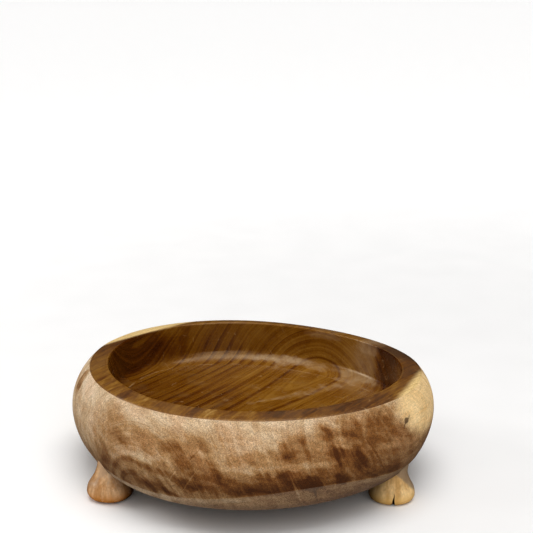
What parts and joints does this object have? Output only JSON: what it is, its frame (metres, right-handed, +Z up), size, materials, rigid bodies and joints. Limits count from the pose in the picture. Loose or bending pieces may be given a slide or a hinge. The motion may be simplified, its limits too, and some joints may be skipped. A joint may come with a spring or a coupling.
{
  "type": "footed wooden bowl",
  "caption": "Low oval carved wooden bowl with a thick flat rim, a shallow flat-floored hollow and rounded turned feet.",
  "frame": {"origin": "centre of the bounding box in plan, on the surface that the feet stand on", "axes": "+Z up out of the bowl's mouth; +Y away from the side that shows two feet, towards the third foot; +X to that side's right"},
  "size_m": [0.2998, 0.3068, 0.0904],
  "materials": {
    "bowl_wood": "oiled satin inside and on the rim, raw fine-sanded outside, brown heartwood with pale sapwood",
    "foot_left_wood": "oiled semi-gloss tan heartwood, grain upright",
    "foot_right_wood": "oiled satin pale sapwood, grain upright",
    "foot_back_wood": "oiled satin mixed wood, grain upright",
    "dowel_wood": "bare straight-grained hardwood"
  },
  "bodies": {
    "root": {"bowl": "bowl_wood", "foot_left": "foot_left_wood", "foot_right": "foot_right_wood", "foot_back": "foot_back_wood", "dowel_left": "dowel_wood", "dowel_right": "dowel_wood", "dowel_back": "dowel_wood"}
  },
  "joints": []
}
